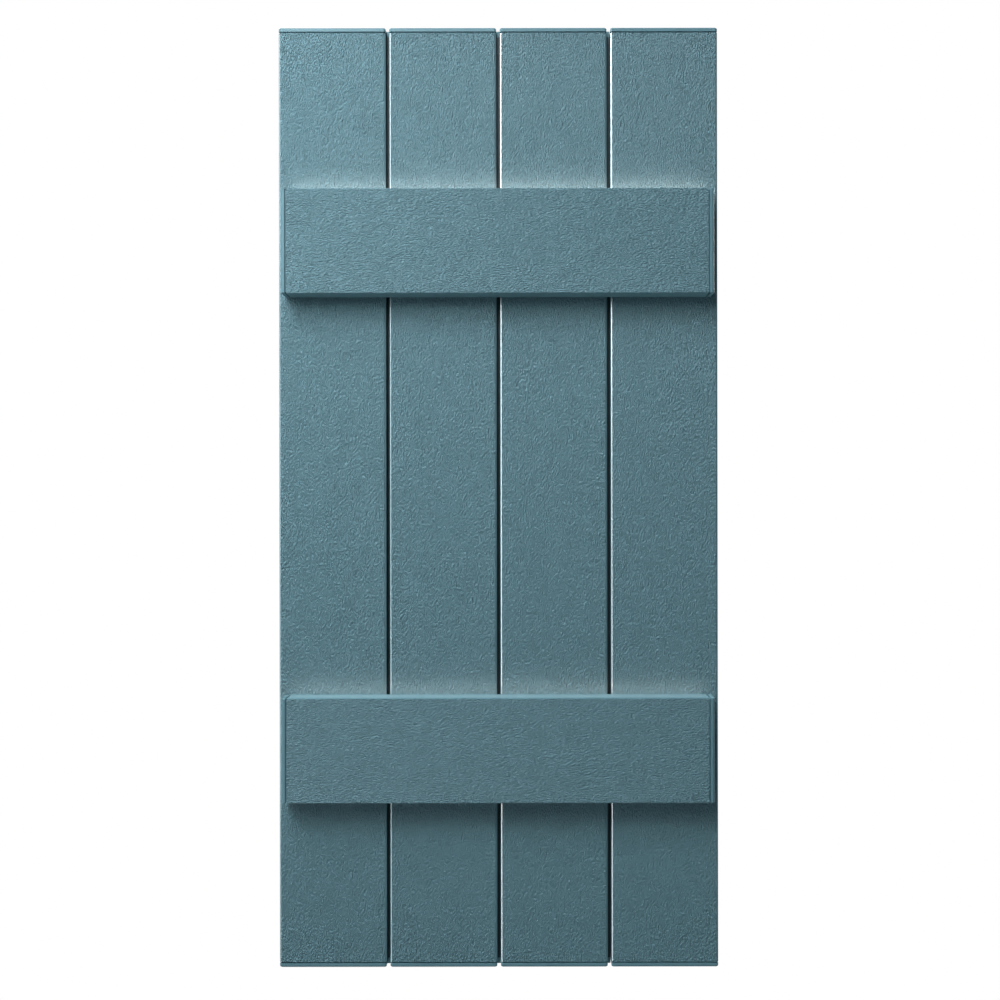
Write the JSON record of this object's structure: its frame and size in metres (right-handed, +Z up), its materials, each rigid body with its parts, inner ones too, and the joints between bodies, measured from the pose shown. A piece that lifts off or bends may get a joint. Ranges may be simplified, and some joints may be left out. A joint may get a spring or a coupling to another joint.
{
  "type": "board and batten shutter",
  "caption": "Fixed exterior window shutter of upright hollow vinyl boards lapped edge to edge, capped at the ends and tied by two flat battens across the front, in blue-grey embossed grain.",
  "frame": {"origin": "the middle of the flat back of the boards, where the shutter lies on the wall", "axes": "+Z is up along the boards, +Y points into the wall, the battens face -Y and +X is to the right seen from the front"},
  "size_m": [0.3674, 0.0318, 0.7874],
  "materials": {
    "board_vinyl": "satin",
    "batten_vinyl": "satin",
    "smooth_vinyl": "satin"
  },
  "bodies": {
    "root": {"board_1": "board_vinyl", "board_2": "board_vinyl", "board_3": "board_vinyl", "board_4": "board_vinyl", "board_1_top_cap": "smooth_vinyl", "board_1_bottom_cap": "smooth_vinyl", "board_2_top_cap": "smooth_vinyl", "board_2_bottom_cap": "smooth_vinyl", "board_3_top_cap": "smooth_vinyl", "board_3_bottom_cap": "smooth_vinyl", "board_4_top_cap": "smooth_vinyl", "board_4_bottom_cap": "smooth_vinyl", "upper_batten": "batten_vinyl", "lower_batten": "batten_vinyl", "upper_batten_left_cap": "smooth_vinyl", "upper_batten_right_cap": "smooth_vinyl", "lower_batten_left_cap": "smooth_vinyl", "lower_batten_right_cap": "smooth_vinyl"}
  },
  "joints": []
}
